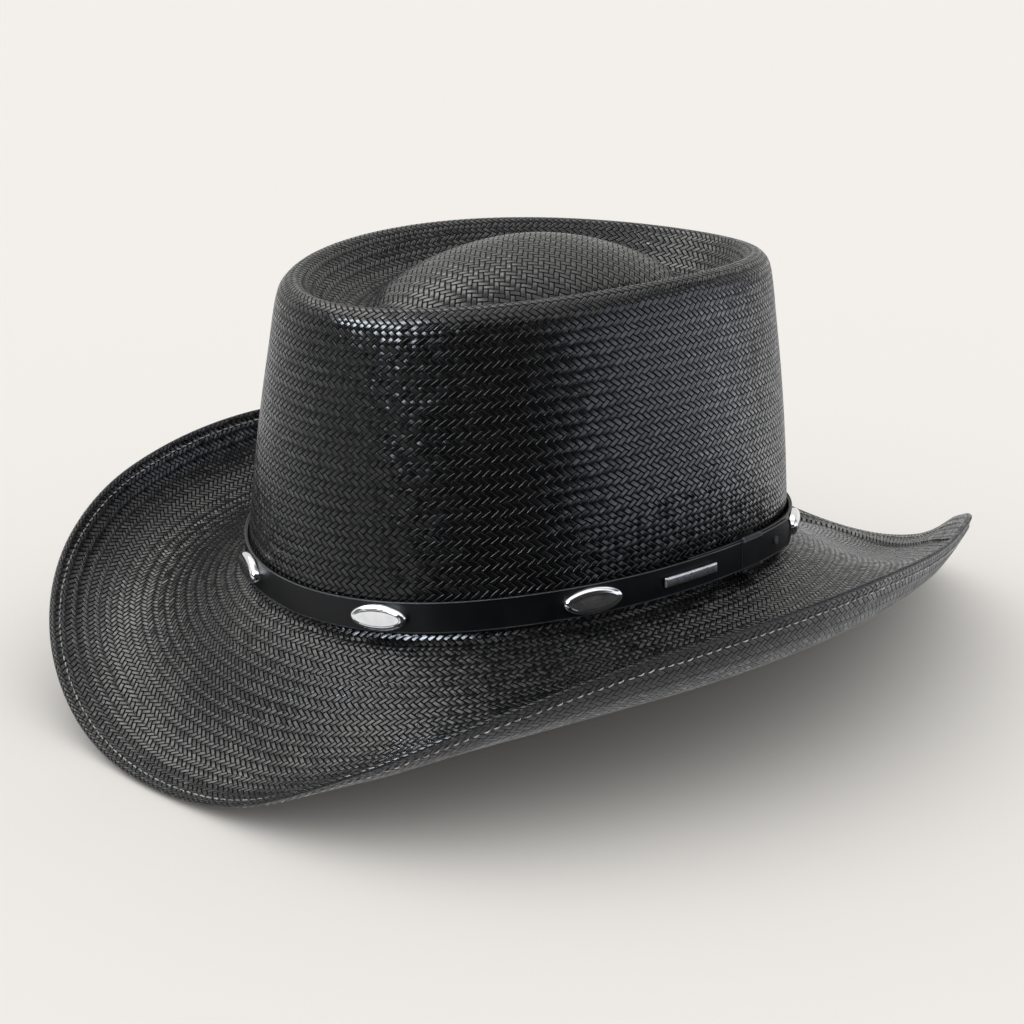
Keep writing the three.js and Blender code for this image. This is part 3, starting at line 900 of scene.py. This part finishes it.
def mix_colours(tree, share, low, high):
    node = tree.nodes.new("ShaderNodeMix")
    node.data_type = "RGBA"
    tree.links.new(share.socket, node.inputs["Factor"])
    for slot, colour in ((node.inputs[6], low), (node.inputs[7], high)):
        if isinstance(colour, tuple):
            slot.default_value = (*colour, 1)
        else:
            tree.links.new(colour, slot)
    return node.outputs[2]


def add_bump(tree, height, distance):
    node = tree.nodes.new("ShaderNodeBump")
    node.inputs["Strength"].default_value = 1.0
    node.inputs["Distance"].default_value = distance
    tree.links.new(height.socket, node.inputs["Height"])
    return node.outputs["Normal"]


def straw_material(name, relief, matt, shade_gap_width, arching):
    """Black straw in a two-over-two twill on the bias: each strand passes over two and under two.

    The last four say how deep the weave stands, how matt the glossiest strand is, how wide the painted shade in
    the gaps between strands is and how much a strand arches from end to end.
    """
    material, tree, shader = new_material(name)
    uv = tree.nodes.new("ShaderNodeUVMap")
    uv.uv_map = "weave"
    split = tree.nodes.new("ShaderNodeSeparateXYZ")
    tree.links.new(uv.outputs[0], split.inputs[0])
    column = Value(tree, split.outputs[0])
    row = Value(tree, split.outputs[1])
    drift = noise(tree, uv.outputs[0], 0.35, 1.0) - 0.5
    column = column + drift * 0.5
    row = row + (noise(tree, uv.outputs[0], 0.22, 1.0) - 0.5) * 0.5
    rising = column + row
    falling = column - row
    rising_index = rising.floor()
    falling_index = falling.floor()
    on_top = (rising_index - falling_index).wrap(4).math("LESS_THAN", 1.5)
    rising_across = falling - falling_index
    falling_across = rising - rising_index
    rising_along = (rising - falling_index).wrap(4) * 0.5
    falling_along = ((falling - rising_index).wrap(4) - 1) * 0.5
    across = falling_across + on_top * (rising_across - falling_across)
    along = falling_along + on_top * (rising_along - falling_along)
    rising_float = ((rising - falling_index) * 0.25).floor()
    falling_float = ((falling - rising_index - 1) * 0.25).floor()
    strand = rising_index + on_top * (falling_index - rising_index)
    float_index = falling_float + on_top * (rising_float - falling_float)
    chance = random_value(tree, strand, float_index, on_top)
    other_chance = random_value(tree, float_index, strand, on_top + 7)
    to_side = (across - 0.5).math("ABSOLUTE") * -2 + 1
    to_end = (along - 0.5).math("ABSOLUTE") * -2 + 1
    body = to_side.smooth(0.02, 0.42)
    arch = to_end * (to_end * -1 + 2)
    lean = (across - 0.5) * (chance - 0.5) * 0.7 + (along - 0.5) * (other_chance - 0.5) * 0.7
    fibre = noise(tree, combine(tree, across * 6 + chance * 40, along * 1.2, strand), 1.0, 2.0)
    height = body * (arch * arching + (1 - arching) + lean) + (fibre - 0.5) * 0.1
    tree.links.new(add_bump(tree, height, relief), shader.inputs["Normal"])

    # Painted shade: the gaps between strands and at the strands' ends are painted darker and their reflection is
    # turned down, for the shade that falls between the strands.
    gap = to_side.smooth(0.0, shade_gap_width) * to_end.smooth(0.0, shade_gap_width * 0.7)
    patch = noise(tree, object_place(tree), 22, 3.0)
    row_tone = random_value(tree, row.floor(), 3.0, 1.0)
    tone = chance * 0.5 + patch * 0.35 + row_tone * 0.15
    straw = mix_colours(tree, tone, (0.0006, 0.0006, 0.0007), (0.005, 0.0049, 0.005))
    tree.links.new(mix_colours(tree, gap, (0.0004, 0.0004, 0.0004), straw), shader.inputs["Base Color"])
    rough = other_chance.between(matt, matt + 0.15) + (fibre - 0.5) * 0.12 + (gap * -1 + 1) * 0.5
    tree.links.new(rough.socket, shader.inputs["Roughness"])
    tree.links.new(gap.between(0.04, 0.55).socket, shader.inputs["Specular IOR Level"])
    return material


def leather_material(name, base, light, roughness, grain):
    """Smooth dyed leather with a fine pebbled grain."""
    material, tree, shader = new_material(name)
    place = object_place(tree)
    cells = tree.nodes.new("ShaderNodeTexVoronoi")
    cells.feature = "DISTANCE_TO_EDGE"
    tree.links.new(place, cells.inputs["Vector"])
    cells.inputs["Scale"].default_value = 1900
    pebbles = Value(tree, cells.outputs["Distance"]).smooth(0.0, 0.35)
    creases = noise(tree, place, 700, 4.0, 0.6)
    tone = noise(tree, place, 90, 4.0, 0.6)
    tree.links.new(mix_colours(tree, tone.smooth(0.3, 0.75), base, light), shader.inputs["Base Color"])
    rough = tone.between(roughness - 0.07, roughness + 0.09) + (creases - 0.5) * 0.1
    tree.links.new(rough.socket, shader.inputs["Roughness"])
    shader.inputs["Specular IOR Level"].default_value = 0.27
    normal = add_bump(tree, pebbles * 0.5 + creases * 0.8, grain)
    tree.links.new(normal, shader.inputs["Normal"])
    return material


def metal_material(name, colour, dark, roughness, scratch):
    """Polished plate with faint smudges and hairline scratches."""
    material, tree, shader = new_material(name)
    place = object_place(tree)
    smudge = noise(tree, place, 160, 3.0)
    hair = noise(tree, place, 2600, 2.0, 0.7)
    tree.links.new(mix_colours(tree, smudge.smooth(0.25, 0.7), dark, colour), shader.inputs["Base Color"])
    rough = smudge.between(roughness, roughness + 0.07) + (hair - 0.5) * 0.04
    tree.links.new(rough.socket, shader.inputs["Roughness"])
    shader.inputs["Metallic"].default_value = 1
    tree.links.new(add_bump(tree, hair, scratch), shader.inputs["Normal"])
    return material


def thread_material():
    """Pale twisted thread."""
    material, tree, shader = new_material("hem_thread")
    place = object_place(tree)
    twist = tree.nodes.new("ShaderNodeTexWave")
    tree.links.new(place, twist.inputs["Vector"])
    twist.inputs["Scale"].default_value = 700
    twist.inputs["Distortion"].default_value = 3
    strands = Value(tree, twist.outputs["Fac"])
    tone = noise(tree, place, 500, 3.0)
    dark, light = (0.22, 0.215, 0.21), (0.62, 0.61, 0.6)
    tree.links.new(mix_colours(tree, tone.smooth(0.3, 0.7), dark, light), shader.inputs["Base Color"])
    shader.inputs["Roughness"].default_value = 0.7
    tree.links.new(add_bump(tree, strands, 0.0001), shader.inputs["Normal"])
    return material


# --- studio ---

FLOOR_COLOUR = (0.888, 0.863, 0.823)

# Soft panels of the studio as the gloss sees them: azimuth, elevation, half width, half height in degrees,
# softness, brightness and colour. A brightness below zero is a dark flag.
PANELS = (
    (-118, 28, 64, 32, 0.2, 0.78, (1, 0.99, 0.97)),
    (-80, 54, 26, 16, 0.15, 2.6, (1, 0.99, 0.97)),
    (-150, 58, 30, 12, 0.15, 0.9, (1, 0.99, 0.97)),
    (35, 64, 55, 14, 0.15, 1.0, (1, 1, 1)),
    (-5, 37, 18, 10, 0.05, 24.0, (0.82, 0.89, 1)),
    (-42, 4, 30, 12, 0.2, 0.22, (0.95, 0.97, 1)),
    (129, 8, 36, 22, 0.1, 1.65, (0.8, 0.86, 1)),
    (164, -22, 20, 12, 0.2, 1.4, (1, 1, 1)),
    (56, -12, 40, 16, 0.12, -0.9, (1, 1, 1)),
)
WALLS = 0.03
OVERHEAD = 0.9
GROUND = 0.88

# Even skylight as matt surfaces see it: its brightness, and the side that it leans to
SKYLIGHT = 0.868
SKY_LEAN = 0.3
SKY_SIDE = (-95, 45)


def around(azimuth, elevation, distance):
    """A place round the hat: azimuth from the front towards the wearer's left."""
    turn, rise = math.radians(azimuth), math.radians(elevation)
    return Vector((math.sin(turn) * math.cos(rise), -math.cos(turn) * math.cos(rise), math.sin(rise))) * distance


def dot(tree, vector, direction):
    node = tree.nodes.new("ShaderNodeVectorMath")
    node.operation = "DOT_PRODUCT"
    tree.links.new(vector, node.inputs[0])
    node.inputs[1].default_value = direction
    return Value(tree, node.outputs["Value"])


def panel_share(tree, view, azimuth, elevation, half_width, half_height, softness):
    """1 where a panel fills the view from the hat, 0 outside it, with soft edges."""
    middle = around(azimuth, elevation, 1)
    turn = math.radians(azimuth)
    right = Vector((math.cos(turn), math.sin(turn), 0))
    up = middle.cross(right)
    ahead = dot(tree, view, middle)
    depth = ahead.math("MAXIMUM", 0.02)
    across = (dot(tree, view, right) / depth).math("ABSOLUTE")
    above = (dot(tree, view, up) / depth).math("ABSOLUTE")
    wide, high = math.tan(math.radians(half_width)), math.tan(math.radians(half_height))
    inside = across.smooth(wide + softness, wide - softness) * above.smooth(high + softness, high - softness)
    return inside * ahead.smooth(0.0, 0.05)


def add_world():
    """Pale studio: even skylight for the matt floor, and soft panels with a dark flag for the gloss."""
    world = bpy.data.worlds.new("studio")
    bpy.context.scene.world = world
    world.use_nodes = True
    tree = world.node_tree
    view = tree.nodes.new("ShaderNodeTexCoord").outputs["Generated"]
    height = dot(tree, view, (0, 0, 1))
    light = height.smooth(-0.12, 0.02).between(GROUND, WALLS) + height.smooth(0.55, 1.0) * OVERHEAD
    gloss = combine(tree, light, light, light)
    for azimuth, elevation, half_width, half_height, softness, brightness, tint in PANELS:
        share = panel_share(tree, view, azimuth, elevation, half_width, half_height, softness)
        node = tree.nodes.new("ShaderNodeVectorMath")
        node.operation = "MULTIPLY_ADD"
        tree.links.new(share.socket, node.inputs[0])
        node.inputs[1].default_value = Vector(tint) * brightness
        tree.links.new(gloss, node.inputs[2])
        gloss = node.outputs[0]
    lowest = tree.nodes.new("ShaderNodeVectorMath")
    lowest.operation = "MAXIMUM"
    tree.links.new(gloss, lowest.inputs[0])
    lowest.inputs[1].default_value = (0.03, 0.03, 0.032)
    matt = dot(tree, view, around(*SKY_SIDE, 1)) * SKY_LEAN + SKYLIGHT
    is_gloss = Value(tree, tree.nodes.new("ShaderNodeLightPath").outputs["Is Glossy Ray"])
    for_matt, for_gloss = tree.nodes["Background"], tree.nodes.new("ShaderNodeBackground")
    tree.links.new(combine(tree, matt, matt, matt), for_matt.inputs["Color"])
    tree.links.new(lowest.outputs[0], for_gloss.inputs["Color"])
    mix = tree.nodes.new("ShaderNodeMixShader")
    for source, slot in zip((is_gloss.socket, for_matt.outputs[0], for_gloss.outputs[0]), mix.inputs):
        tree.links.new(source, slot)
    tree.links.new(mix.outputs[0], tree.nodes["World Output"].inputs["Surface"])


def add_floor():
    """Pale paper floor. Its mirror image is left to the studio's ground tone."""
    radius, sides = 12.0, 96
    turns = np.arange(sides) * 2 * np.pi / sides
    points = [(radius * math.cos(turn), radius * math.sin(turn), 0) for turn in turns]
    mesh = bpy.data.meshes.new("floor")
    mesh.from_pydata(points, [], [tuple(range(sides))])
    floor = bpy.data.objects.new("floor", mesh)
    bpy.context.scene.collection.objects.link(floor)
    material, tree, shader = new_material("floor_paper")
    shader.inputs["Base Color"].default_value = (*FLOOR_COLOUR, 1)
    shader.inputs["Roughness"].default_value = 1.0
    shader.inputs["Specular IOR Level"].default_value = 0.0
    mesh.materials.append(material)
    floor.visible_glossy = False


def add_camera(set_down):
    """Camera fitted to the photograph's outlines, placed from the hat's own level frame."""
    azimuth, elevation, roll = 46.991, 17.446, -0.217
    distance, lens, sensor = 817.63, 79.15, 36.0
    aside, above = -4.715, -18.608
    centre = Vector((0, 0, 35))
    back = around(azimuth, elevation, 1)
    turn, tilt = math.radians(azimuth), math.radians(roll)
    right = Vector((math.cos(turn), math.sin(turn), 0))
    up = back.cross(right)
    level_right = right * math.cos(tilt) + up * math.sin(tilt)
    level_up = up * math.cos(tilt) - right * math.sin(tilt)
    place = centre + back * distance + level_right * aside + level_up * above
    own = Matrix((level_right, level_up, back)).transposed().to_4x4()
    own.translation = place
    data = bpy.data.cameras.new("camera")
    data.lens = lens
    data.sensor_width = sensor
    camera = bpy.data.objects.new("camera", data)
    stand = set_down @ own
    stand.translation = stand.translation * MM
    camera.matrix_world = stand
    bpy.context.scene.collection.objects.link(camera)
    bpy.context.scene.camera = camera


straw = straw_material("black_straw", 0.0005, 0.15, 0.34, 0.35)
straw_under = straw_material("black_straw_underside", 0.00022, 0.34, 0.2, 0.3)
leather = leather_material("black_leather", (0.0015, 0.0017, 0.0022), (0.004, 0.0043, 0.0052), 0.4, 0.00002)
# Painted highlight: the keeper's leather is made lighter than the band's, for the light that the raised loop
# catches.
keeper_leather_painted_light = leather_material("keeper_leather_painted_light", (0.004, 0.0046, 0.0055), (0.01, 0.011, 0.0125), 0.36, 0.00003)
# Cut edges of the leather: partly a paler raw edge, partly a painted highlight for the light that catches the
# edges.
edge_leather_with_highlight = leather_material("edge_leather_with_highlight", (0.045, 0.05, 0.055), (0.085, 0.092, 0.1), 0.5, 0.00004)
metal = metal_material("polished_plate", (0.9, 0.9, 0.9), (0.78, 0.78, 0.79), 0.05, 0.000002)
brushed = metal_material("brushed_plate", (0.74, 0.74, 0.74), (0.5, 0.5, 0.51), 0.24, 0.00002)
thread = thread_material()

hat, set_down = straw_body((straw, straw_under))
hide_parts("straw_body")

band = band_strap(leather, edge_leather_with_highlight, set_down)
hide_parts("band_strap")
keeper = keeper_loop(keeper_leather_painted_light, edge_leather_with_highlight, set_down)
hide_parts("keeper_loop")
bar = plain_bar(brushed, set_down)
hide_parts("plain_bar")
for number in range(1, CONCHO_COUNT + 1):
    ornament = concho(f"concho_plate_{number}", number - 1, metal, set_down)
    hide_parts(f"concho_{number}")

for name, side in (("hem_stitches_top", 1), ("hem_stitches_under", -1)):
    stitches = hem_stitches(name, thread, set_down, side)

add_floor()
add_world()
add_camera(set_down)

bpy.context.scene.view_settings.view_transform = "Standard"
